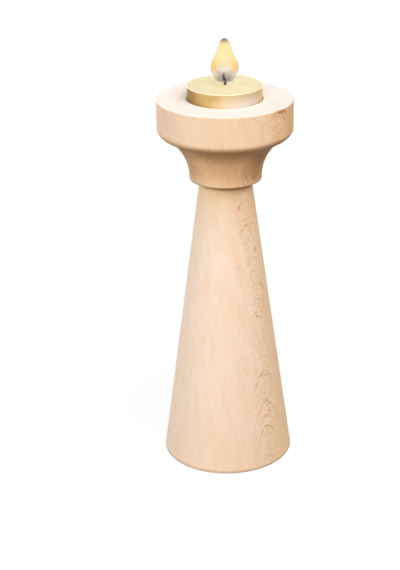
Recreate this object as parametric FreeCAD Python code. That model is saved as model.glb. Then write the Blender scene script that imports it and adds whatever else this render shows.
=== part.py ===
import FreeCAD, Part

import math
import os

# A turned beech candle stand with a tealight in its head.
# Lengths are millimetres. The origin is on the floor, under the middle of the base, and +Z is up.

# The stand as a whole: its wooden height, and its width at the base and at the head
stand_height = 200.0
plan_diameter = 70.0

# The column, a long cone that carries the tenon
neck_diameter = 26.8
base_edge_radius = 0.5
tenon_diameter = 16.0
tenon_length = 20.0
tenon_chamfer = 1.0
centre_mark_diameter = 4.0
centre_mark_depth = 1.6

# The head, a drum on a cove that ends in a short bead over the column
head_height = 42.4
drum_side_height = 15.4
top_edge_radius = 0.5
bead_diameter = 37.6
bead_edge_radius = 0.4
recess_depth = 9.0
recess_chamfer = 0.3
socket_chamfer = 0.8

# The cove's spline from the bead up to the drum: shares of its reach outwards and of its rise
cove_pole_shares = [
    (0.0, 0.0),
    (0.0, 0.43),
    (0.75, 0.90),
    (0.74, 0.80),
    (1.0, 0.94),
    (1.0, 1.0),
]

# The tealight's thin cup
cup_diameter = 38.2
cup_height = 16.0
cup_wall = 0.3
cup_corner_radius = 1.5
lip_roll_radius = 0.3
panel_diameter = 24.0
panel_rise = 0.8
panel_slope = 45.0

# The wax, and how far its top lies below the cup's lip
wax_drop = 0.5
wax_edge_radius = 0.3

# The wick: its small double bend, the hook at its tip and the tinned foot that holds it
wick_diameter = 1.1
wick_height = 6.7
wick_straight_height = 0.9
wick_sway = 0.7
wick_hook_radius = 2.2
wick_hook_angle = 45.0
foot_diameter = 13.0
foot_thickness = 0.3
foot_neck_height = 4.0
foot_neck_wall = 0.3

# The flame, a drop that stands round the wick
flame_diameter = 14.0
flame_height = 22.3
flame_lift = 2.2

# The flame's spline from its foot to its tip: shares of its radius and of its height
flame_pole_shares = [
    (0.78, 0.0),
    (1.09, 0.32),
    (0.91, 0.48),
    (0.43, 0.79),
    (0.31, 1.0),
    (0.0, 1.0),
]

# Clearances
glue_clearance = 0.1
socket_end_clearance = 2.0
recess_clearance = 0.35
wax_clearance = 0.3
wick_clearance = 0.05
flame_clearance = 0.3

# Radii and heights that follow from the sizes above
base_radius = plan_diameter / 2
head_radius = base_radius
neck_radius = neck_diameter / 2
tenon_radius = tenon_diameter / 2
bead_radius = bead_diameter / 2
cup_radius = cup_diameter / 2
cup_inner_radius = cup_radius - cup_wall
wick_radius = wick_diameter / 2
head_seat = stand_height - head_height
recess_floor = stand_height - recess_depth
panel_top = recess_floor + panel_rise + cup_wall
lip_top = recess_floor + cup_height
wax_top = lip_top - wax_drop
flame_bottom = wax_top + flame_lift

FULL_TURN = 360.0
QUARTER_TURN = 90.0
HALF_TURN = 180.0


def spot(radius, height):
    return FreeCAD.Vector(radius, 0, height)


class Outline:
    """Half of a turned piece's section, drawn edge by edge in the XZ plane and closed on its axis."""

    def __init__(self, radius, height):
        self.start = spot(radius, height)
        self.end = self.start
        self.edges = []

    def line(self, radius, height):
        target = spot(radius, height)
        self.edges.append(Part.makeLine(self.end, target))
        self.end = target

    def arc(self, radius, height, first_angle, last_angle):
        """An arc about the spot at radius and height, between two angles counted from outwards to up."""
        centre = spot(radius, height)
        size = (self.end - centre).Length
        middle_angle = (first_angle + last_angle) / 2
        ends = []
        for angle in (middle_angle, last_angle):
            turn = math.radians(angle)
            ends.append(centre + spot(size * math.cos(turn), size * math.sin(turn)))
        self.edges.append(Part.Arc(self.end, ends[0], ends[1]).toShape())
        self.end = ends[1]

    def curve(self, poles):
        spline = Part.BSplineCurve()
        spline.buildFromPoles(poles)
        self.edges.append(spline.toShape())
        self.end = poles[-1]

    def turned(self):
        self.line(self.start.x, self.start.z)
        face = Part.Face(Part.Wire(self.edges))
        return face.revolve(spot(0, 0), spot(0, stand_height), FULL_TURN)


def column():
    """The tapered column, with the tenon turned on its top and the lathe's centre mark underneath."""
    taper = math.atan2(base_radius - neck_radius, head_seat)
    edge_centre = base_radius - base_edge_radius * (math.tan(taper) + 1 / math.cos(taper))
    tenon_top = head_seat + tenon_length
    shape = Outline(0, centre_mark_depth)
    shape.line(centre_mark_diameter / 2, 0)
    shape.line(edge_centre, 0)
    shape.arc(edge_centre, base_edge_radius, -QUARTER_TURN, math.degrees(taper))
    shape.line(neck_radius, head_seat)
    shape.line(tenon_radius, head_seat)
    shape.line(tenon_radius, tenon_top - tenon_chamfer)
    shape.line(tenon_radius - tenon_chamfer, tenon_top)
    shape.line(0, tenon_top)
    return shape.turned()


def cove_poles():
    """The cove's poles, from the drum's lower edge down to the bead."""
    foot = head_seat + bead_edge_radius
    rise = stand_height - drum_side_height - foot
    reach = head_radius - bead_radius
    poles = []
    for reach_share, rise_share in reversed(cove_pole_shares):
        poles.append(spot(bead_radius + reach_share * reach, foot + rise_share * rise))
    return poles


def head():
    """The head, with the tealight's recess on top and the tenon's socket underneath."""
    recess_radius = cup_radius + recess_clearance
    socket_radius = tenon_radius + glue_clearance
    socket_top = head_seat + tenon_length + socket_end_clearance
    edge_centre = stand_height - top_edge_radius
    shape = Outline(0, recess_floor)
    shape.line(recess_radius, recess_floor)
    shape.line(recess_radius, stand_height - recess_chamfer)
    shape.line(recess_radius + recess_chamfer, stand_height)
    shape.line(head_radius - top_edge_radius, stand_height)
    shape.arc(head_radius - top_edge_radius, edge_centre, QUARTER_TURN, 0)
    shape.line(head_radius, stand_height - drum_side_height)
    shape.curve(cove_poles())
    shape.arc(bead_radius - bead_edge_radius, head_seat + bead_edge_radius, 0, -QUARTER_TURN)
    shape.line(socket_radius + socket_chamfer, head_seat)
    shape.line(socket_radius, head_seat + socket_chamfer)
    shape.line(socket_radius, socket_top)
    shape.line(0, socket_top)
    return shape.turned()


def tealight_cup():
    """The cup, one thin pressing: a raised panel, a rounded corner, a straight wall and a rolled lip."""
    slope = math.radians(panel_slope)
    panel_radius = panel_diameter / 2
    slope_foot = panel_radius + panel_rise / math.tan(slope)
    inner_step = cup_wall * math.tan(slope / 2)
    corner_centre = cup_radius - cup_corner_radius
    corner_height = recess_floor + cup_corner_radius
    lip_centre = cup_inner_radius + lip_roll_radius
    lip_height = lip_top - lip_roll_radius
    lip_start = math.degrees(math.acos((cup_radius - lip_centre) / lip_roll_radius))
    wall_top = lip_height - lip_roll_radius * math.sin(math.radians(lip_start))
    shape = Outline(0, recess_floor + panel_rise)
    shape.line(panel_radius, recess_floor + panel_rise)
    shape.line(slope_foot, recess_floor)
    shape.line(corner_centre, recess_floor)
    shape.arc(corner_centre, corner_height, -QUARTER_TURN, 0)
    shape.line(cup_radius, wall_top)
    shape.arc(lip_centre, lip_height, -lip_start, HALF_TURN)
    shape.line(cup_inner_radius, corner_height)
    shape.arc(corner_centre, corner_height, 0, -QUARTER_TURN)
    shape.line(slope_foot + inner_step, recess_floor + cup_wall)
    shape.line(panel_radius + inner_step, panel_top)
    shape.line(0, panel_top)
    return shape.turned()


def wick_foot():
    """The tinned disc under the wax, with the short neck that grips the wick."""
    bore = wick_radius + wick_clearance
    shape = Outline(bore, panel_top)
    shape.line(foot_diameter / 2, panel_top)
    shape.line(foot_diameter / 2, panel_top + foot_thickness)
    shape.line(bore + foot_neck_wall, panel_top + foot_thickness)
    shape.line(bore + foot_neck_wall, panel_top + foot_neck_height)
    shape.line(bore, panel_top + foot_neck_height)
    return shape.turned()


def wax():
    """The wax, cast to the cup's floor and round the wick and its foot."""
    slope = math.radians(panel_slope)
    step = cup_wall * math.tan(slope / 2) + wax_clearance
    panel_edge = panel_diameter / 2 + step
    slope_foot = panel_edge + panel_rise / math.tan(slope)
    outer = cup_inner_radius - wax_clearance
    corner_centre = cup_radius - cup_corner_radius - wax_clearance
    corner_height = recess_floor + cup_corner_radius
    foot_edge = foot_diameter / 2 + wick_clearance
    foot_top = panel_top + foot_thickness + wick_clearance
    neck_edge = wick_radius + foot_neck_wall + 2 * wick_clearance
    neck_top = panel_top + foot_neck_height + wick_clearance
    bore = wick_radius + wick_clearance
    shape = Outline(bore, neck_top)
    shape.line(neck_edge, neck_top)
    shape.line(neck_edge, foot_top)
    shape.line(foot_edge, foot_top)
    shape.line(foot_edge, panel_top)
    shape.line(panel_edge, panel_top)
    shape.line(slope_foot, recess_floor + cup_wall)
    shape.line(corner_centre, recess_floor + cup_wall)
    shape.arc(corner_centre, corner_height, -QUARTER_TURN, 0)
    shape.line(outer, wax_top - wax_edge_radius)
    shape.arc(outer - wax_edge_radius, wax_top - wax_edge_radius, 0, QUARTER_TURN)
    shape.line(bore, wax_top)
    return shape.turned()


def wick():
    """The wick: straight through the wax, then two equal arcs that sway it aside and one that hooks its tip."""
    hook_turn = math.radians(wick_hook_angle)
    hook_rise = wick_hook_radius * math.sin(hook_turn)
    arc_rise = (wick_height - wick_straight_height - hook_rise) / 2
    arc_turn = 2 * math.atan2(wick_sway / 2, arc_rise)
    arc_radius = arc_rise / math.sin(arc_turn)
    half_way = spot(arc_radius * math.cos(arc_turn / 2), arc_radius * math.sin(arc_turn / 2))
    start = spot(0, panel_top)
    knee = spot(0, wax_top + wick_straight_height)
    middle = knee + spot(-wick_sway / 2, arc_rise)
    crest = knee + spot(-wick_sway, 2 * arc_rise)
    first_centre = knee - spot(arc_radius, 0)
    second_centre = crest + spot(arc_radius, 0)
    hook_centre = crest + spot(wick_hook_radius, 0)
    hook_spots = []
    for turn in (hook_turn / 2, hook_turn):
        reach = spot(-wick_hook_radius * math.cos(turn), wick_hook_radius * math.sin(turn))
        hook_spots.append(hook_centre + reach)
    arcs = [
        Part.Arc(knee, first_centre + half_way, middle),
        Part.Arc(middle, second_centre - half_way, crest),
        Part.Arc(crest, hook_spots[0], hook_spots[1]),
    ]
    path = Part.Wire([Part.makeLine(start, knee)] + [arc.toShape() for arc in arcs])
    section = Part.Wire([Part.makeCircle(wick_radius, start, spot(0, stand_height))])
    return path.makePipeShell([section], True, False)


def flame():
    """The flame, a closed drop with a pocket in its foot for the wick."""
    pocket = wick_radius + wick_sway + flame_clearance
    pocket_top = wax_top + wick_height + wick_radius + flame_clearance
    shape = Outline(0, pocket_top)
    shape.line(pocket, pocket_top)
    shape.line(pocket, flame_bottom)
    poles = [spot(pocket, flame_bottom)]
    for radius_share, height_share in flame_pole_shares:
        radius = radius_share * flame_diameter / 2
        poles.append(spot(radius, flame_bottom + height_share * flame_height))
    shape.curve(poles)
    return shape.turned()


def main():
    pieces = {
        "column": column(),
        "head": head(),
        "tealight_cup": tealight_cup(),
        "wick_foot": wick_foot(),
        "wax": wax(),
        "wick": wick(),
        "flame": flame(),
    }
    os.makedirs("parts", exist_ok=True)
    for name, shape in pieces.items():
        shape.exportStep(f"parts/{name}.step")
        print(name, shape.ShapeType, "valid", shape.isValid(), "volume", round(shape.Volume, 1))


main()
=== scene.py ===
import math
from types import SimpleNamespace

import bmesh
import bpy
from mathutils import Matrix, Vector

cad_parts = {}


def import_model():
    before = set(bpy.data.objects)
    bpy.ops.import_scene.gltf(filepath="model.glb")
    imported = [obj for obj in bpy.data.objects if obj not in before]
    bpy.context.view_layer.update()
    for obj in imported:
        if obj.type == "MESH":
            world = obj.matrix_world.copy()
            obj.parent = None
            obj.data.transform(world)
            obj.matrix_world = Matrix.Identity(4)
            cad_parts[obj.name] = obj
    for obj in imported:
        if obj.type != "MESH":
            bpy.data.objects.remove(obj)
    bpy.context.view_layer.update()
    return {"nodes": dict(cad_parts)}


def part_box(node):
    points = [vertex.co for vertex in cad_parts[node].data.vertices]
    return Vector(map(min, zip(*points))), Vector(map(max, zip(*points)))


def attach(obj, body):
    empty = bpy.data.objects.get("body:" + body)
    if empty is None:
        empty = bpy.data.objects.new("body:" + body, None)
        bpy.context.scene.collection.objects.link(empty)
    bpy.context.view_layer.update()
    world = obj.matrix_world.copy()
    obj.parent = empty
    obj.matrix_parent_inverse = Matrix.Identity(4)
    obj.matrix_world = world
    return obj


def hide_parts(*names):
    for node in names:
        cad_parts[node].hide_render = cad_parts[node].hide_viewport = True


# A turned beech candle stand with a lit tealight, in metres. The camera looks along +Y and down. The pith of
# the tree that the wood was cut from ran in front of the stand on the right, so the rings' arched marks run
# down its right side.

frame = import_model()

MM = 0.001
UP = (0.0, 0.0, 1.0)
RIGHT = (1.0, 0.0, 0.0)

# The photograph's camera
PHOTO_LONG_SIDE_PX = 570.0
PHOTO_MIDDLE_X_PX = 200.0
OPTICAL_AXIS_X_PX = 256.8
SENSOR = 36.0
LENS = 89.2
CAMERA_PLACE = Vector((0.0162, -0.694, 0.401))
CAMERA_PITCH = math.radians(23.70)

# The light
WORLD_LEVEL = 0.19
FLOOR_HALF_WIDTH = 4.0
FLOOR_TRUE_COLOUR = (0.16, 0.125, 0.10)
FLOOR_SHADOW_SHARE = 0.16
FLOOR_SHADOW_REACH = (0.15, 0.55)
WHITE = (1.0, 1.0, 1.0)

# The lamps, all aimed at the stand's middle: name, bearing from the front towards the right, height angle,
# distance, width, the brightness of a white surface that faces the lamp, and tint
LAMP_TARGET = Vector((0, 0, 0.1))
NEUTRAL = (1.0, 1.0, 1.0)
COOL = (0.93, 1.0, 1.08)
LIGHTS = [
    ("key", -5, 25, 1.3, 0.9, 0.505, NEUTRAL),
    ("overhead", 0, 65, 1.3, 0.9, 0.34, NEUTRAL),
    ("right_high", 54, 52, 1.3, 1.1, 0.555, NEUTRAL),
    ("left_fill", -78, 10, 1.4, 0.7, 0.36, COOL),
    ("back_left", -145, 12, 1.4, 0.7, 0.30, COOL),
    ("back_right", 145, 14, 1.4, 0.7, 0.18, NEUTRAL),
]

# The tree, in millimetres: its pith lies in front of the stand on the right, leans away from it, more so
# along the upper column and the head, and bows sideways
PITH_WAY = (math.sqrt(0.5), -math.sqrt(0.5), 0.0)
SIDE_WAY = (math.sqrt(0.5), math.sqrt(0.5), 0.0)
PITH_DISTANCE = 60.0
PITH_LEAN = 0.05
PITH_UPPER_LEAN = 0.12
PITH_UPPER_START = 75.0
PITH_UPPER_END = 157.4
PITH_HEAD_SETBACK = 8.0
PITH_HEAD_SETBACK_BAND = (168.0, 206.0)
PITH_HEAD_SHIFT = 9.0
PITH_HEAD_SHIFT_BAND = (158.0, 185.0)
PITH_BOW = 3.0
PITH_BOW_LENGTH = 190.0
PITH_BOW_START = 40.0
GRAIN_SLANT = 0.15

# The rings and rays, in millimetres: the crest is where the surface comes nearest to the pith, and its reach
# is how far beside it the rings' lines show strongly. The bunching is counted in rings.
RING_SPACING = 1.0
RING_BUNCHING = 2.0
LATE_WOOD_PEAK_SHARE = 0.93
RING_SLOW_WAVE = 2.4
RING_FINE_WAVE = 0.55
CREST_DRIFT = 8.0
CREST_CORE = 2.6
CREST_UPPER_REACH = 5.4
CREST_LOWER_REACH = 9.5
CREST_HEAD_REACH = 3.5
RAY_WIDTH = 0.55
RAY_HEIGHT = 2.2
RAY_LENGTH = 22.0

# The wood's noises, in millimetres: the sizes of their cells, the last one along the grain, and the depth of
# the relief
SLOW_WAVE_CELLS = (26.0, 26.0, 30.0)
FINE_WAVE_CELLS = (2.0, 2.0, 5.0)
BUNCHING_LENGTH = 1.0
FADING_CELLS = (2.6, 2.6, 2.6)
CREST_DRIFT_CELLS = (math.inf, math.inf, 5.0)
TONE_CELLS = (16.0, 16.0, 90.0)
STREAK_CELLS = (3.2, 3.2, 110.0)
SHORT_STREAK_CELLS = (3.6, 3.6, 20.0)
MOTTLE_CELLS = (5.0, 5.0, 2.2)
FLECK_CELLS = (2.4, 2.4, 1.6)
SMUDGE_CELLS = (2.0, 2.0, 14.0)
FIBRE_CELLS = (0.55, 0.55, 16.0)
PORE_CELLS = (0.34, 0.34, 3.5)
TOOL_MARK_LENGTH = 0.09
WOOD_RELIEF = 0.06

# Heights in millimetres between which a look of the wood or its painted light and shade goes from nothing
# to full, or from its first value to its second
HEAD_BAND = (150.0, 165.0)
# Painted light: paler along the middle of the column, fading under the bead and towards the floor
PAINTED_LIGHT_TOP_BAND = (154.0, 118.0)
PAINTED_LIGHT_FOOT_BAND = (0.0, 70.0)
# Painted shade: under the bead, in the cove and towards its sides, in the crease at the seat and along the
# foot's edge
UNDER_BEAD_SHADE_BAND = (144.0, 155.0)
UNDER_BEAD_SHADE_END = (159.0, 157.0)
COVE_SHADE_FOOT_BAND = (152.0, 166.0)
COVE_SHADE_TOP_BAND = (186.3, 180.0)
COVE_RIGHT_SHADE_BAND = (164.0, 176.0)
COVE_LEFT_SHADE_BAND = (166.0, 178.0)
CREASE_SHADE_BAND = (154.0, 156.0)
CREASE_SHADE_END = (158.6, 157.7)
FOOT_SHADE_BAND = (2.4, 0.2)
CREST_REACH_BAND = (130.0, 50.0)
CREST_SHARE_BAND = (110.0, 60.0)

# The wood's tones, with those of the painted shade on the right, under the bead and in the cove, and of the
# painted light on the top
CREAM = (0.890, 0.675, 0.485)
PEACH = (0.890, 0.630, 0.445)
PALE = (0.920, 0.745, 0.600)
HONEY_SHADE = (0.950, 0.630, 0.290)
HONEY_TAN = (0.860, 0.530, 0.270)
TAN = (0.790, 0.465, 0.215)
BROWN = (0.560, 0.265, 0.095)
LIT_TOP = (0.862, 0.780, 0.728)
COVE_SHADE = (0.990, 0.530, 0.215)
DEEP_SHADE = (0.360, 0.165, 0.055)
RAY_LIGHT = (0.93, 0.74, 0.56)

# The cup, in millimetres: how far from the middle its tones are laid, its noises' cells and its dents, and the
# heights between which its painted highlight sets in and its lip's painted highlight starts. Its tones go from
# painted shade on the left to a painted highlight right of the middle.
CUP_TONE_REACH = 19.0
DRAWN_CELLS = (0.5, 0.5, 12.0)
DENT_CELLS = (5.0, 5.0, 6.0)
TARNISH_CELLS = (9.0, 9.0, 9.0)
DENT_DEPTH = 0.2
HIGHLIGHT_BAND = (206.0, 200.5)
LIP_HIGHLIGHT_BAND = (206.2, 206.6)
SHADE_AND_TARNISH_GOLD = (0.26, 0.140, 0.035)
GOLD = (0.58, 0.415, 0.165)
HIGHLIGHT_GOLD = (0.71, 0.64, 0.57)
LIP_HIGHLIGHT_GOLD = (0.90, 0.76, 0.50)

# The wick's foot, the wax and the wick: their noises' cells and reliefs in millimetres, and their tones
SCRATCH_CELLS = (0.2, 3.0, 3.0)
SCRATCH_DEPTH = 0.02
CLOUD_CELLS = (4.0, 4.0, 4.0)
WAX_GRAIN_CELLS = (0.8, 0.8, 0.8)
WAX_RELIEF = 0.05
WAX_LIGHT_REACH = 2.0
FLUFF_CELLS = (0.2, 0.2, 0.4)
FLUFF_DEPTH = 0.1
DULL_TIN = (0.60, 0.60, 0.58)
BRIGHT_TIN = (0.70, 0.70, 0.68)
DULL_WAX = (0.69, 0.60, 0.37)
BRIGHT_WAX = (0.73, 0.64, 0.41)
SOOT_BLACK = (0.006, 0.003, 0.001)
CHAR = (0.020, 0.012, 0.008)

# The flame's outline from its foot to its tip: shares of its radius and of its height
FLAME_STEPS = 6
FLAME_OUTLINE_SHARES = [
    (0.0, 0.0),
    (0.30, 0.0),
    (0.58, 0.018),
    (0.74, 0.075),
    (0.87, 0.15),
    (0.97, 0.24),
    (1.0, 0.315),
    (0.96, 0.42),
    (0.86, 0.50),
    (0.72, 0.60),
    (0.59, 0.69),
    (0.48, 0.80),
    (0.385, 0.89),
    (0.27, 0.95),
    (0.13, 0.988),
    (0.0, 1.0),
]

# The flame's tones: each a glow and the share of what lies behind that it hides
HAZE = (0.19, 0.165, 0.165, 0.50)
THIN_HAZE = (0.36, 0.30, 0.26, 0.36)
SOOT = (0.11, 0.085, 0.05, 0.46)
OLIVE = (0.52, 0.42, 0.14, 0.30)
EMBER = (0.42, 0.23, 0.0, 0.62)
AMBER = (0.97, 0.44, 0.10, 0.86)
STRAW = (0.76, 0.62, 0.27, 0.50)
COOL_WHITE = (0.54, 0.60, 0.58, 0.74)
PALE_EDGE = (0.60, 0.65, 0.56, 0.36)
WARM_WHITE = (0.76, 0.64, 0.42, 0.55)
CLEAR = (0.60, 0.55, 0.40, 0.0)
GLOW = 1.5
OUTER_CLEARNESS = 0.93

# The flame's veils from the outermost inwards: share of its girth, foot and tip as shares of its height, the
# shares between which its outer face clears, and tones
FLAME_VEILS = [
    (1.0, 0.0, 0.99, (0.60, 0.28),
     [(0.0, HAZE), (0.11, THIN_HAZE), (0.27, EMBER), (0.56, OLIVE), (0.88, OLIVE), (0.965, SOOT)]),
    (0.88, 0.02, 0.975, (0.60, 0.28),
     [(0.02, HAZE), (0.11, THIN_HAZE), (0.27, AMBER), (0.54, STRAW), (0.86, STRAW), (0.965, SOOT)]),
    (0.60, 0.01, 0.93, (0.30, 0.12),
     [(0.02, HAZE), (0.19, THIN_HAZE), (0.31, PALE_EDGE), (0.46, PALE_EDGE),
      (0.60, WARM_WHITE), (0.90, CLEAR)]),
    (0.34, 0.01, 0.80, (0.27, 0.09),
     [(0.02, HAZE), (0.19, THIN_HAZE), (0.29, COOL_WHITE), (0.46, COOL_WHITE),
      (0.60, WARM_WHITE), (0.78, CLEAR)]),
]

# The wax's free surface from the cup's wall inwards: shares of its radius, and rises in millimetres over the
# solid's top
WAX_TOP_STEPS = 3
WAX_TOP = [
    (1.0, 0.34),
    (0.990, 0.22),
    (0.972, 0.12),
    (0.94, 0.05),
    (0.88, 0.01),
    (0.70, -0.03),
    (0.40, -0.03),
    (0.12, 0.0),
    (0.065, 0.08),
    (0.045, 0.20),
    (0.034, 0.42),
]

# The wax's underside, as the solid's: what it leaves free round the cup's panel and the wick's foot, in
# millimetres
WAX_GAP = 0.24
WICK_BORE_RADIUS = 0.6
FOOT_GAP = 0.05
FOOT_NECK_RADIUS = 0.85
FOOT_THICKNESS = 0.3
PANEL_EDGE_RADIUS = 12.42
PANEL_RISE = 0.8
CORNER_RADIUS = 1.2
CORNER_STEPS = 6

# The wick above the wax: how far it sways sideways in millimetres, by shares of its free height
WICK_STEPS = 6
WICK_SWAYS = [
    (0.0, 0.0),
    (0.13, 0.22),
    (0.27, 0.30),
    (0.42, 0.02),
    (0.60, -0.45),
    (0.78, -0.62),
    (0.92, -0.38),
    (1.0, -0.05),
]

# The wick's braid, in millimetres
WICK_SIDES = 24
WICK_RADIUS = 0.58
WICK_TIP_RADIUS = 0.40
WICK_TIP_GAP = 0.15
WICK_SWELL = 0.18
WICK_PLY = 3
WICK_PLY_DEPTH_SHARE = 0.10
WICK_LAY = 2.6

AXIS_REACH = 1e-7
TURNED_SIDES = 96
SHARP_ANGLE = math.radians(40)


class Graph:
    """The nodes of a material or a world, built from the sockets that feed each one."""

    def __init__(self, owner):
        owner.use_nodes = True
        self.owner = owner
        self.tree = owner.node_tree
        self.tree.nodes.clear()

    def node(self, kind, inputs=(), **settings):
        node = self.tree.nodes.new(kind)
        for name, value in settings.items():
            setattr(node, name, value)
        for name, value in dict(inputs).items():
            self.feed(node.inputs[name], value)
        return node

    def feed(self, socket, value):
        if isinstance(value, bpy.types.NodeSocket):
            self.tree.links.new(value, socket)
        elif hasattr(value, "__len__") and socket.type == "RGBA" and len(value) == 3:
            socket.default_value = (*value, 1.0)
        else:
            socket.default_value = value

    def math(self, operation, *values):
        return self.node("ShaderNodeMath", enumerate(values), operation=operation).outputs[0]

    def product(self, first, *others):
        for other in others:
            first = self.math("MULTIPLY", first, other)
        return first

    def vector(self, operation, *values):
        result = self.node("ShaderNodeVectorMath", enumerate(values), operation=operation)
        return result.outputs["Value" if operation in ("DOT_PRODUCT", "LENGTH") else "Vector"]

    def place(self):
        """The spot's place on its own object, in millimetres."""
        inputs = {0: self.node("ShaderNodeTexCoord").outputs["Object"], "Scale": 1 / MM}
        return self.node("ShaderNodeVectorMath", inputs, operation="SCALE").outputs["Vector"]

    def shrunk(self, point, sizes):
        """The point, counted in cells of the sizes."""
        return self.vector("MULTIPLY", point, [1 / size for size in sizes])

    def noise(self, point, sizes, detail=2.0, roughness=0.5):
        """Noise in cells of the sizes, in the point's own unit."""
        inputs = {"Vector": self.shrunk(point, sizes), "Scale": 1.0, "Detail": detail, "Roughness": roughness}
        return self.node("ShaderNodeTexNoise", inputs).outputs["Fac"]

    def noise_along(self, length, size, detail=2.0):
        """Noise along one length, in cells of the size."""
        inputs = {"W": length, "Scale": 1 / size, "Detail": detail}
        return self.node("ShaderNodeTexNoise", inputs, noise_dimensions="1D").outputs["Fac"]

    def spread(self, value, low, high, to_low=0.0, to_high=1.0):
        """value carried from low..high to to_low..to_high, eased at both ends."""
        inputs = {"Value": value, "From Min": low, "From Max": high, "To Min": to_low, "To Max": to_high}
        return self.node("ShaderNodeMapRange", inputs, interpolation_type="SMOOTHSTEP").outputs["Result"]

    def mix(self, share, first, second):
        node = self.node("ShaderNodeMix", {"Factor": share}, data_type="RGBA")
        self.feed(node.inputs[6], first)
        self.feed(node.inputs[7], second)
        return node.outputs[2]

    def bump(self, height, distance, strength):
        inputs = {"Height": height, "Distance": distance, "Strength": strength}
        return self.node("ShaderNodeBump", inputs).outputs["Normal"]

    def finish(self, surface):
        self.node("ShaderNodeOutputMaterial", {"Surface": surface})
        return self.owner

    def principled(self, inputs):
        """The material, finished with one principled shader."""
        return self.finish(self.node("ShaderNodeBsdfPrincipled", inputs).outputs["BSDF"])


def wood_spot(g):
    """What the wood's patterns ask about a spot: its place in millimetres, and the way its surface faces."""
    spot = SimpleNamespace(point=g.place())
    spot.height = g.vector("DOT_PRODUCT", spot.point, UP)
    spot.pithward = g.vector("DOT_PRODUCT", spot.point, PITH_WAY)
    spot.sideways = g.vector("DOT_PRODUCT", spot.point, SIDE_WAY)
    spot.in_head = g.spread(spot.height, *HEAD_BAND)
    facing = g.node("ShaderNodeTexCoord").outputs["Normal"]
    spot.upward = g.vector("DOT_PRODUCT", facing, UP)
    spot.rightward = g.vector("DOT_PRODUCT", facing, RIGHT)
    spot.pith_facing = g.vector("DOT_PRODUCT", facing, PITH_WAY)
    spot.flat_sawn = g.spread(spot.pith_facing, 0.45, 0.98)
    spot.pith_side = g.spread(spot.pith_facing, 0.70, 0.94)
    spot.top_grain = g.spread(spot.upward, 0.55, 0.98)
    return spot


def from_pith(g, spot):
    """How far a spot is from the pith, and how far beside it."""
    bow_turn = g.product(g.math("SUBTRACT", spot.height, PITH_BOW_START), 2 * math.pi / PITH_BOW_LENGTH)
    side = g.math("SUBTRACT", spot.sideways, g.product(g.math("SINE", bow_turn), PITH_BOW))
    side = g.math("SUBTRACT", side, g.spread(spot.height, *PITH_HEAD_SHIFT_BAND, 0.0, PITH_HEAD_SHIFT))
    pith = g.math("MULTIPLY_ADD", spot.height, PITH_LEAN, PITH_DISTANCE)
    pith = g.math("MULTIPLY_ADD", g.spread(spot.height, *PITH_HEAD_SETBACK_BAND), PITH_HEAD_SETBACK, pith)
    over_start = g.math("MAXIMUM", g.math("SUBTRACT", spot.height, PITH_UPPER_START), 0.0)
    in_upper_column = g.product(over_start, g.math("LESS_THAN", spot.height, PITH_UPPER_END))
    pith = g.math("MULTIPLY_ADD", in_upper_column, PITH_UPPER_LEAN, pith)
    radial = g.math("SUBTRACT", pith, spot.pithward)
    squares = g.math("ADD", g.math("POWER", radial, 2.0), g.math("POWER", side, 2.0))
    return g.math("SQRT", squares), side


def ring_lines(g, spot):
    """The rings' dark late wood, and how much of it shows: most on the crest that faces the pith."""
    distance, side = from_pith(g, spot)
    slow_wave = g.noise(spot.point, SLOW_WAVE_CELLS)
    fine_wave = g.noise(spot.point, FINE_WAVE_CELLS)
    waved = g.math("MULTIPLY_ADD", g.math("SUBTRACT", slow_wave, 0.5), RING_SLOW_WAVE, distance)
    waved = g.math("MULTIPLY_ADD", g.math("SUBTRACT", fine_wave, 0.5), RING_FINE_WAVE, waved)
    bunching = g.noise_along(distance, BUNCHING_LENGTH, detail=1.0)
    count = g.math("MULTIPLY_ADD", bunching, RING_BUNCHING, g.math("DIVIDE", waved, RING_SPACING))
    through_ring = g.math("FRACT", count)
    ring_number = g.math("FLOOR", count)
    strength = g.node("ShaderNodeTexWhiteNoise", {"W": ring_number}, noise_dimensions="1D").outputs["Value"]
    rise_start = g.math("MULTIPLY_ADD", spot.in_head, -0.16, 0.68)
    rise = g.spread(through_ring, rise_start, LATE_WOOD_PEAK_SHARE)
    fall = g.spread(through_ring, LATE_WOOD_PEAK_SHARE, 1.0, 1.0, 0.0)
    late_wood = g.product(rise, fall, g.spread(strength, -0.2, 1.0))

    fading = g.spread(g.noise(spot.point, FADING_CELLS), 0.36, 0.58, 0.22, 1.0)
    drift = g.math("SUBTRACT", g.noise(spot.point, CREST_DRIFT_CELLS), 0.5)
    off_crest = g.math("ABSOLUTE", g.math("MULTIPLY_ADD", drift, CREST_DRIFT, side))
    column_reach = g.spread(spot.height, *CREST_REACH_BAND, CREST_UPPER_REACH, CREST_LOWER_REACH)
    reach = g.math("MULTIPLY_ADD", spot.in_head, CREST_HEAD_REACH, column_reach)
    pith_half = g.math("GREATER_THAN", spot.pithward, 0.0)
    crest = g.product(g.spread(off_crest, reach, CREST_CORE), pith_half)
    crest_share = g.math("ADD", spot.in_head, g.spread(spot.height, *CREST_SHARE_BAND, 0.78, 1.12))
    shown = g.product(fading, g.math("MULTIPLY_ADD", crest, crest_share, 0.10))
    shown = g.product(shown, g.math("MULTIPLY_ADD", spot.top_grain, -0.8, 1.0))
    return late_wood, g.product(late_wood, shown)


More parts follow.
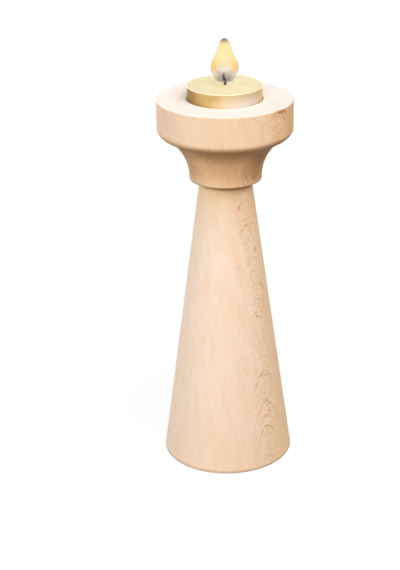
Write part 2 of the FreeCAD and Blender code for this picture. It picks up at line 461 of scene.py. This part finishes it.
def rays(g, spot):
    """The rays: thin ribbons that run out from the pith."""
    along_ribbon = {
        "X": g.math("DIVIDE", spot.sideways, RAY_WIDTH),
        "Y": g.math("DIVIDE", spot.height, RAY_HEIGHT),
        "Z": g.math("DIVIDE", spot.pithward, RAY_LENGTH),
    }
    place = g.node("ShaderNodeCombineXYZ", along_ribbon).outputs["Vector"]
    cells = g.node("ShaderNodeTexVoronoi", {"Vector": place, "Scale": 1.0, "Randomness": 1.0})
    size = g.node("ShaderNodeTexWhiteNoise", {"Vector": cells.outputs["Position"]}).outputs["Value"]
    reach = g.math("MULTIPLY_ADD", size, 0.26, 0.10)
    return g.spread(g.math("DIVIDE", cells.outputs["Distance"], reach), 1.15, 0.75)


def drift_and_painted_light_layers(g, spot):
    """Layers of slow drifts, streaks and flecks, each a share and its tone, with painted light along the column
    and painted shade towards the right and under the bead.
    """
    slanted = g.vector("MULTIPLY_ADD", spot.height, (GRAIN_SLANT, 0.0, 0.0), spot.point)
    tone = g.noise(slanted, TONE_CELLS)
    streaks = g.noise(slanted, STREAK_CELLS, detail=3.0, roughness=0.55)
    short_streaks = g.noise(slanted, SHORT_STREAK_CELLS, detail=3.0, roughness=0.55)
    mottle = g.noise(spot.point, MOTTLE_CELLS, detail=3.0, roughness=0.6)
    flecks = g.noise(spot.point, FLECK_CELLS, detail=3.0, roughness=0.65)
    # Painted light: paler along the middle of the column, fading under the bead and towards the floor
    light_falloff_to_floor = g.spread(spot.height, *PAINTED_LIGHT_FOOT_BAND, 0.45, 1.0)
    painted_light = g.product(g.spread(spot.height, *PAINTED_LIGHT_TOP_BAND), light_falloff_to_floor)
    right_side_shade = g.spread(spot.rightward, 0.48, 0.98)
    # Painted shade: browner at the head's far right edge
    far_right_shade = g.product(g.spread(spot.rightward, 0.86, 1.0), spot.in_head, spot.pith_side)
    # Painted shade: a warmer band on the column just under the bead
    under_bead_shade = g.product(g.spread(spot.height, *UNDER_BEAD_SHADE_BAND), g.spread(spot.height, *UNDER_BEAD_SHADE_END))
    not_left = g.spread(spot.rightward, -0.75, -0.10, 0.40, 1.0)
    right_of_middle = g.product(g.spread(spot.rightward, 0.30, 0.72), g.spread(spot.rightward, 0.965, 0.85))
    flecked = g.product(right_of_middle, spot.pith_side)
    return [
        (g.spread(tone, 0.38, 0.62), PEACH),
        (g.product(painted_light, 0.75), PALE),
        (g.spread(streaks, 0.44, 0.72, 0.0, 0.30), HONEY_TAN),
        # Painted shade: warmer and darker towards the right side, most on the head, and under the bead
        (g.math("MAXIMUM", g.product(right_side_shade, 0.45), g.product(under_bead_shade, 0.60)), HONEY_SHADE),
        (g.product(right_side_shade, spot.in_head, 0.50), TAN),
        (g.product(far_right_shade, 0.45), BROWN),
        (g.product(spot.flat_sawn, 0.04), TAN),
        (g.spread(mottle, 0.50, 0.78, 0.0, 0.15), TAN),
        (g.product(not_left, g.spread(short_streaks, 0.44, 0.70, 0.0, 0.27)), HONEY_TAN),
        (g.product(flecked, g.spread(flecks, 0.50, 0.71, 0.0, 0.44)), TAN),
        (g.product(flecked, g.spread(flecks, 0.50, 0.30, 0.0, 0.68)), PALE),
    ]


def painted_light_and_shade_layers(g, spot):
    """Layers of painted shade in the cove, on the undersides, in the crease at the seat and along the foot's
    edge, and of painted light on the pale top.
    """
    smudges = g.noise(spot.point, SMUDGE_CELLS, roughness=0.6)
    # Painted shade: the cove under the drum is laid in a warmer, deeper tone
    in_cove_shade = g.product(g.spread(spot.height, *COVE_SHADE_FOOT_BAND), g.spread(spot.height, *COVE_SHADE_TOP_BAND))
    # Painted shade: the cove darker towards its right and left sides; the smudges are the wood's own tone
    right_depth = g.spread(spot.height, *COVE_RIGHT_SHADE_BAND, 0.58, 1.25)
    left_depth = g.spread(spot.height, *COVE_LEFT_SHADE_BAND, 0.50, 0.90)
    right_shade = g.product(g.spread(spot.rightward, 0.30, 0.85), right_depth)
    left_shade = g.product(g.spread(spot.rightward, -0.40, -0.90), left_depth)
    side_shade_and_smudges = g.math("ADD", g.math("ADD", right_shade, left_shade), g.spread(smudges, 0.46, 0.76, 0.0, 0.16))
    # Painted shade on the surfaces that face downwards
    underside_shade = g.spread(spot.upward, -0.42, -0.82)
    shaded = g.math("MULTIPLY_ADD", in_cove_shade, side_shade_and_smudges, g.product(underside_shade, 0.72))
    # Painted shadow: a dark narrow band in the crease under the bead, at the head's seat
    crease_shade = g.product(g.spread(spot.height, *CREASE_SHADE_BAND), g.spread(spot.height, *CREASE_SHADE_END))
    return [
        (g.product(in_cove_shade, 0.62), COVE_SHADE),
        # Painted shade in the crease, towards the cove's sides and on the undersides
        (g.math("MULTIPLY_ADD", crease_shade, 0.90, shaded), DEEP_SHADE),
        # Painted light: the faces that look upwards, the head's top above all, are laid paler
        (g.product(spot.top_grain, 0.92), LIT_TOP),
        # Painted shade: darker along the lowest millimetres of the foot, next to the floor
        (g.spread(spot.height, *FOOT_SHADE_BAND, 0.0, 0.5), DEEP_SHADE),
    ]


def beech():
    """Raw beech as a solid: growth rings about the pith, rays, fibres, pores and slow drifts of tone, with
    painted light and shade laid over them.
    """
    g = Graph(bpy.data.materials.new("beech_wood"))
    spot = wood_spot(g)
    late_wood, line_share = ring_lines(g, spot)
    ribbons = rays(g, spot)
    quarter_sawn = g.spread(g.math("ABSOLUTE", spot.pith_facing), 0.55, 0.15)
    fibres = g.noise(spot.point, FIBRE_CELLS, detail=3.0, roughness=0.6)
    pore_place = g.shrunk(spot.point, PORE_CELLS)
    pore_cells = g.node("ShaderNodeTexVoronoi", {"Vector": pore_place, "Scale": 1.0})
    pores = g.spread(pore_cells.outputs["Distance"], 0.20, 0.10)
    marks = [
        (line_share, BROWN),
        (g.product(g.spread(fibres, 0.42, 0.78), g.spread(spot.rightward, 0.10, 0.60, 0.11, 0.26)), TAN),
        (g.product(ribbons, g.spread(spot.flat_sawn, 0.65, 1.0), 0.34), BROWN),
        (g.product(ribbons, quarter_sawn, g.spread(spot.rightward, 0.35, 0.75, 0.20, 0.05)), RAY_LIGHT),
        (g.product(pores, 0.10), BROWN),
    ]
    colour = CREAM
    for share, tone in drift_and_painted_light_layers(g, spot) + painted_light_and_shade_layers(g, spot) + marks:
        colour = g.mix(share, colour, tone)

    tool_marks = g.noise_along(spot.height, TOOL_MARK_LENGTH)
    relief = g.math("MULTIPLY_ADD", fibres, 0.6, g.product(tool_marks, 0.5))
    relief = g.math("MULTIPLY_ADD", pores, -0.5, relief)
    relief = g.math("MULTIPLY_ADD", late_wood, -0.25, relief)
    sheen = g.math("MULTIPLY_ADD", ribbons, -0.25, g.product(fibres, 0.7))
    roughness = g.math("MULTIPLY_ADD", spot.top_grain, 0.25, g.spread(sheen, 0.1, 0.6, 0.52, 0.72))
    inputs = {
        "Base Color": colour,
        "Roughness": roughness,
        "Normal": g.bump(relief, WOOD_RELIEF * MM, 0.6),
        "Specular IOR Level": 0.3,
    }
    return g.principled(inputs)


def gold_foil():
    """The cup's thin gold-lacquered aluminium: satin, faintly drawn upwards and dented, with painted shade on
    its left and painted highlights right of its middle and on its lip.
    """
    g = Graph(bpy.data.materials.new("gold_lacquer"))
    point = g.place()
    drawn = g.noise(point, DRAWN_CELLS, detail=3.0, roughness=0.6)
    dents = g.noise(point, DENT_CELLS, detail=1.0)
    tarnish = g.noise(point, TARNISH_CELLS)
    across = g.vector("DOT_PRODUCT", point, (1 / CUP_TONE_REACH, 0.0, 0.0))
    up = g.vector("DOT_PRODUCT", point, UP)
    painted_highlight = g.product(g.spread(across, -0.50, 0.55), g.spread(across, 1.05, 0.75))
    # Painted shade from the left edge towards the middle, and a painted highlight right of the middle, low on
    # the wall
    colour = g.mix(g.spread(across, -1.10, -0.20), SHADE_AND_TARNISH_GOLD, GOLD)
    colour = g.mix(g.product(painted_highlight, g.spread(up, *HIGHLIGHT_BAND, 0.35, 1.0)), colour, HIGHLIGHT_GOLD)
    colour = g.mix(g.spread(tarnish, 0.4, 0.7, 0.0, 0.25), colour, SHADE_AND_TARNISH_GOLD)
    # Painted highlight round the lip
    colour = g.mix(g.product(g.spread(up, *LIP_HIGHLIGHT_BAND), 0.8), colour, LIP_HIGHLIGHT_GOLD)
    inputs = {
        "Base Color": colour,
        "Metallic": 0.9,
        "Roughness": g.spread(drawn, 0.2, 0.8, 0.52, 0.62),
        "Normal": g.bump(g.math("MULTIPLY_ADD", drawn, 0.12, dents), DENT_DEPTH * MM, 0.5),
    }
    return g.principled(inputs)


def tin_plate():
    """The wick foot's bright tinned steel, scratched a little."""
    g = Graph(bpy.data.materials.new("tinned_steel"))
    scratches = g.noise(g.place(), SCRATCH_CELLS, detail=3.0)
    inputs = {
        "Base Color": g.mix(g.spread(scratches, 0.3, 0.7), DULL_TIN, BRIGHT_TIN),
        "Metallic": 1.0,
        "Roughness": g.spread(scratches, 0.2, 0.8, 0.24, 0.38),
        "Normal": g.bump(scratches, SCRATCH_DEPTH * MM, 0.5),
    }
    return g.principled(inputs)


def paraffin():
    """Pale yellow wax, a little translucent, with soft clouds in it."""
    g = Graph(bpy.data.materials.new("yellow_wax"))
    point = g.place()
    cloud = g.noise(point, CLOUD_CELLS, detail=3.0)
    grain = g.noise(point, WAX_GRAIN_CELLS)
    inputs = {
        "Base Color": g.mix(g.spread(cloud, 0.35, 0.65), DULL_WAX, BRIGHT_WAX),
        "Roughness": g.spread(grain, 0.3, 0.7, 0.52, 0.64),
        "Specular IOR Level": 0.3,
        "Subsurface Weight": 0.25,
        "Subsurface Radius": (0.9, 0.6, 0.3),
        "Subsurface Scale": WAX_LIGHT_REACH * MM,
        "Normal": g.bump(grain, WAX_RELIEF * MM, 0.4),
    }
    return g.principled(inputs)


def charred_cotton():
    """The wick's burnt cotton: near black and matte, with fluff on it."""
    g = Graph(bpy.data.materials.new("charred_cotton"))
    fluff = g.noise(g.place(), FLUFF_CELLS, detail=3.0)
    inputs = {
        "Base Color": g.mix(fluff, SOOT_BLACK, CHAR),
        "Roughness": 0.85,
        "Normal": g.bump(fluff, FLUFF_DEPTH * MM, 0.8),
    }
    return g.principled(inputs)


def flame_glow(name, low, high, clearing, stops):
    """A veil of flame that glows: stops are shares of the height from low to high, each with its tone."""
    g = Graph(bpy.data.materials.new(name))
    point = g.node("ShaderNodeTexCoord").outputs["Object"]
    inputs = {"Value": g.vector("DOT_PRODUCT", point, UP), "From Min": low, "From Max": high}
    share = g.node("ShaderNodeMapRange", inputs).outputs["Result"]
    ramp = g.node("ShaderNodeValToRGB", {"Fac": share})
    marks = ramp.color_ramp.elements
    while len(marks) < len(stops):
        marks.new(0.5)
    for mark, (place, colour) in zip(marks, stops):
        mark.position = place
        mark.color = colour
    # The outer face of a veil is clearer round the wick than the inner face
    outer_face = g.math("SUBTRACT", 1.0, g.node("ShaderNodeNewGeometry").outputs["Backfacing"])
    cleared = g.product(outer_face, g.spread(share, *clearing, 0.0, OUTER_CLEARNESS))
    glow = {
        "Base Color": (0.0, 0.0, 0.0),
        "Roughness": 1.0,
        "Specular IOR Level": 0.0,
        "Emission Color": ramp.outputs["Color"],
        "Emission Strength": GLOW,
        "Alpha": g.product(ramp.outputs["Alpha"], g.math("SUBTRACT", 1.0, cleared)),
    }
    return g.principled(glow)


def smooth_line(marks, steps):
    """A smooth open line through the marks, each a pair, with steps spans between neighbours."""
    ends = [2 * Vector(marks[0]) - Vector(marks[1]), 2 * Vector(marks[-1]) - Vector(marks[-2])]
    spots = [ends[0]] + [Vector(mark) for mark in marks] + [ends[1]]
    line = []
    for before, start, stop, after in zip(spots, spots[1:], spots[2:], spots[3:]):
        for step in range(steps):
            t = step / steps
            straight = 2 * start + (stop - before) * t
            square = (2 * before - 5 * start + 4 * stop - after) * t**2
            cube = (3 * start - before - 3 * stop + after) * t**3
            line.append((straight + square + cube) / 2)
    return line + [Vector(marks[-1])]


def turned(name, profile, material, turns=TURNED_SIDES):
    """A closed solid of revolution. Both ends of its profile lie on the axis, or neither does."""
    shape = bmesh.new()
    rings = []
    for radius, height in profile:
        if radius < AXIS_REACH:
            rings.append([shape.verts.new((0, 0, height))])
            continue
        angles = [2 * math.pi * turn / turns for turn in range(turns)]
        rings.append([shape.verts.new((radius * math.cos(a), radius * math.sin(a), height)) for a in angles])
    uppers = rings[1:] if len(rings[0]) == 1 else rings[1:] + rings[:1]
    for lower, upper in zip(rings, uppers):
        for turn in range(turns):
            after = (turn + 1) % turns
            if len(lower) == 1:
                shape.faces.new((lower[0], upper[after], upper[turn]))
            elif len(upper) == 1:
                shape.faces.new((lower[turn], lower[after], upper[0]))
            else:
                shape.faces.new((lower[turn], lower[after], upper[after], upper[turn]))
    return piece(name, shape, material)


def piece(name, shape, material):
    """A scene piece of the shape, smooth but for its sharp edges, in the material."""
    bmesh.ops.recalc_face_normals(shape, faces=shape.faces)
    for face in shape.faces:
        face.smooth = True
    for edge in shape.edges:
        edge.smooth = edge.calc_face_angle(0.0) < SHARP_ANGLE
    mesh = bpy.data.meshes.new(name)
    shape.to_mesh(mesh)
    shape.free()
    mesh.materials.append(material)
    result = bpy.data.objects.new(name, mesh)
    bpy.context.scene.collection.objects.link(result)
    return result


def flame():
    """Closed veils of flame, one inside the other: the outer ones amber, the inner ones pale."""
    low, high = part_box("flame")
    bottom, height = low.z, high.z - low.z
    widest = (high.x - low.x) / 2
    for number, (girth, foot, tip, clearing, stops) in enumerate(FLAME_VEILS, 1):
        profile = []
        for radius_share, height_share in smooth_line(FLAME_OUTLINE_SHARES, FLAME_STEPS):
            lift = foot + (tip - foot) * height_share
            profile.append((max(radius_share, 0.0) * girth * widest, bottom + lift * height))
        name = f"flame_veil_{number}"
        veil = turned(name, profile, flame_glow(name, bottom, bottom + height, clearing, stops))
        veil.visible_shadow = False
        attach(veil, "candle")
        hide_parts("flame")


def wax():
    """The cast wax: wetted up the cup's wall and the wick, dished between, with the foot's pocket below."""
    low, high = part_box("wax")
    foot_low, foot_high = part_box("wick_foot")
    outer = (high.x - low.x) / 2 + WAX_GAP * MM
    bore = WICK_BORE_RADIUS * MM
    neck = (FOOT_NECK_RADIUS + 2 * FOOT_GAP) * MM
    neck_top = foot_high.z + FOOT_GAP * MM
    foot_edge = (foot_high.x - foot_low.x) / 2 + FOOT_GAP * MM
    foot_top = foot_low.z + (FOOT_THICKNESS + FOOT_GAP) * MM
    panel_edge = PANEL_EDGE_RADIUS * MM
    corner = CORNER_RADIUS * MM
    profile = [
        (bore, neck_top),
        (neck, neck_top),
        (neck, foot_top),
        (foot_edge, foot_top),
        (foot_edge, foot_low.z),
        (panel_edge, foot_low.z),
        (panel_edge + PANEL_RISE * MM, low.z),
    ]
    for step in range(CORNER_STEPS + 1):
        turn = math.radians(90 * step / CORNER_STEPS)
        profile.append((outer - corner + corner * math.sin(turn), low.z + corner - corner * math.cos(turn)))
    for radius_share, rise in smooth_line(WAX_TOP, WAX_TOP_STEPS):
        profile.append((outer * radius_share, high.z + rise * MM))
    cast = turned("wax_cast", profile, paraffin())
    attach(cast, "candle")
    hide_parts("wax")


def wick():
    """The braided wick: straight through the wax, then swaying and thinning to its charred tip."""
    low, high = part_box("wick")
    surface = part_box("wax")[1].z
    free_height = high.z - surface
    places = [Vector((0.0, low.z))]
    for height_share, sway in smooth_line(WICK_SWAYS, WICK_STEPS):
        places.append(Vector((sway * MM, surface + height_share * (free_height - WICK_TIP_GAP * MM))))
    shape = bmesh.new()
    rings = []
    for number, place in enumerate(places):
        before = places[max(number - 1, 0)]
        after = places[min(number + 1, len(places) - 1)]
        lean = math.atan2(after.x - before.x, after.y - before.y)
        burnt = max((place.y - surface) / free_height, 0.0)
        swell = WICK_SWELL * math.sin(math.pi * min(burnt, 1.0))
        thickness = (WICK_RADIUS + (WICK_TIP_RADIUS - WICK_RADIUS) * burnt**2 + swell) * MM
        lay = 2 * math.pi * (place.y / MM) / WICK_LAY
        ring = []
        for side in range(WICK_SIDES):
            angle = 2 * math.pi * side / WICK_SIDES
            braid = abs(math.cos(WICK_PLY * (angle - lay) / 2)) + abs(math.cos(WICK_PLY * (angle + lay) / 2))
            reach = thickness * (1.0 - WICK_PLY_DEPTH_SHARE + WICK_PLY_DEPTH_SHARE * braid / 2)
            across = reach * math.cos(angle)
            x = place.x + across * math.cos(lean)
            z = place.y - across * math.sin(lean)
            ring.append(shape.verts.new((x, reach * math.sin(angle), z)))
        rings.append(ring)
    for lower, upper in zip(rings, rings[1:]):
        for side in range(WICK_SIDES):
            after = (side + 1) % WICK_SIDES
            shape.faces.new((lower[side], lower[after], upper[after], upper[side]))
    shape.faces.new(reversed(rings[0]))
    shape.faces.new(rings[-1])
    braid = piece("wick_braid", shape, charred_cotton())
    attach(braid, "candle")
    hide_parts("wick")


def dress(name, material):
    """Gives every slot of a node's mesh the material."""
    mesh = frame["nodes"][name].data
    if not mesh.materials:
        mesh.materials.append(material)
    for index in range(len(mesh.materials)):
        mesh.materials[index] = material


def seen(g):
    """1 for rays of the eye, of gloss and of glass, and 0 for the rays that light other things."""
    path = g.node("ShaderNodeLightPath").outputs
    either = g.math("MAXIMUM", path["Is Camera Ray"], path["Is Glossy Ray"])
    return g.math("MAXIMUM", either, path["Is Transmission Ray"])


def floor():
    """A white floor that keeps a little of the stand's shadow near it, and lights the stand as a dim one."""
    bpy.ops.mesh.primitive_plane_add(size=2 * FLOOR_HALF_WIDTH, location=(0, 0, 0))
    plane = bpy.context.object
    plane.name = "floor"
    g = Graph(bpy.data.materials.new("white_floor"))
    from_middle = g.vector("LENGTH", g.node("ShaderNodeTexCoord").outputs["Object"])
    shadow_share = g.spread(from_middle, *FLOOR_SHADOW_REACH, FLOOR_SHADOW_SHARE, 0.0)
    dim = g.node("ShaderNodeBsdfDiffuse", {"Color": FLOOR_TRUE_COLOUR})
    lit = g.node("ShaderNodeBsdfDiffuse", {"Color": WHITE})
    plain = g.node("ShaderNodeEmission", {"Color": WHITE, "Strength": 1.0})
    shown = g.node("ShaderNodeMixShader", {0: shadow_share, 1: plain.outputs[0], 2: lit.outputs[0]})
    both = g.node("ShaderNodeMixShader", {0: seen(g), 1: dim.outputs[0], 2: shown.outputs[0]})
    plane.data.materials.append(g.finish(both.outputs[0]))


def world():
    """A world that looks white and lights the stand at its level."""
    g = Graph(bpy.data.worlds.new("studio"))
    strength = g.math("MULTIPLY_ADD", seen(g), 1.0 - WORLD_LEVEL, WORLD_LEVEL)
    back = g.node("ShaderNodeBackground", {"Color": WHITE, "Strength": strength})
    g.node("ShaderNodeOutputWorld", {"Surface": back.outputs[0]})
    bpy.context.scene.world = g.owner


def area_light(name, bearing, height_angle, distance, width, level, tint):
    """A soft round lamp that lights a white surface facing it to the level."""
    data = bpy.data.lights.new(name, "AREA")
    data.shape = "DISK"
    data.size = width
    data.energy = level * (math.pi * distance) ** 2
    data.color = tint
    across = math.radians(bearing)
    up = math.radians(height_angle)
    way = Vector((math.sin(across) * math.cos(up), -math.cos(across) * math.cos(up), math.sin(up)))
    lamp = bpy.data.objects.new(name, data)
    lamp.location = LAMP_TARGET + way * distance
    lamp.rotation_euler = (-way).to_track_quat("-Z", "Y").to_euler()
    bpy.context.scene.collection.objects.link(lamp)


def camera():
    """The photograph's camera, shifted sideways because the optical axis isn't in the picture's middle."""
    data = bpy.data.cameras.new("photo_camera")
    data.sensor_width = SENSOR
    data.lens = LENS
    data.shift_x = (PHOTO_MIDDLE_X_PX - OPTICAL_AXIS_X_PX) / PHOTO_LONG_SIDE_PX
    eye = bpy.data.objects.new("photo_camera", data)
    eye.location = CAMERA_PLACE
    eye.rotation_euler = (math.radians(90) - CAMERA_PITCH, 0, 0)
    bpy.context.scene.collection.objects.link(eye)
    bpy.context.scene.camera = eye


wood = beech()
dress("column", wood)
dress("head", wood)
dress("tealight_cup", gold_foil())
dress("wick_foot", tin_plate())
wax()
wick()
flame()
floor()
world()
for light in LIGHTS:
    area_light(*light)
camera()
bpy.context.scene.view_settings.view_transform = "Standard"
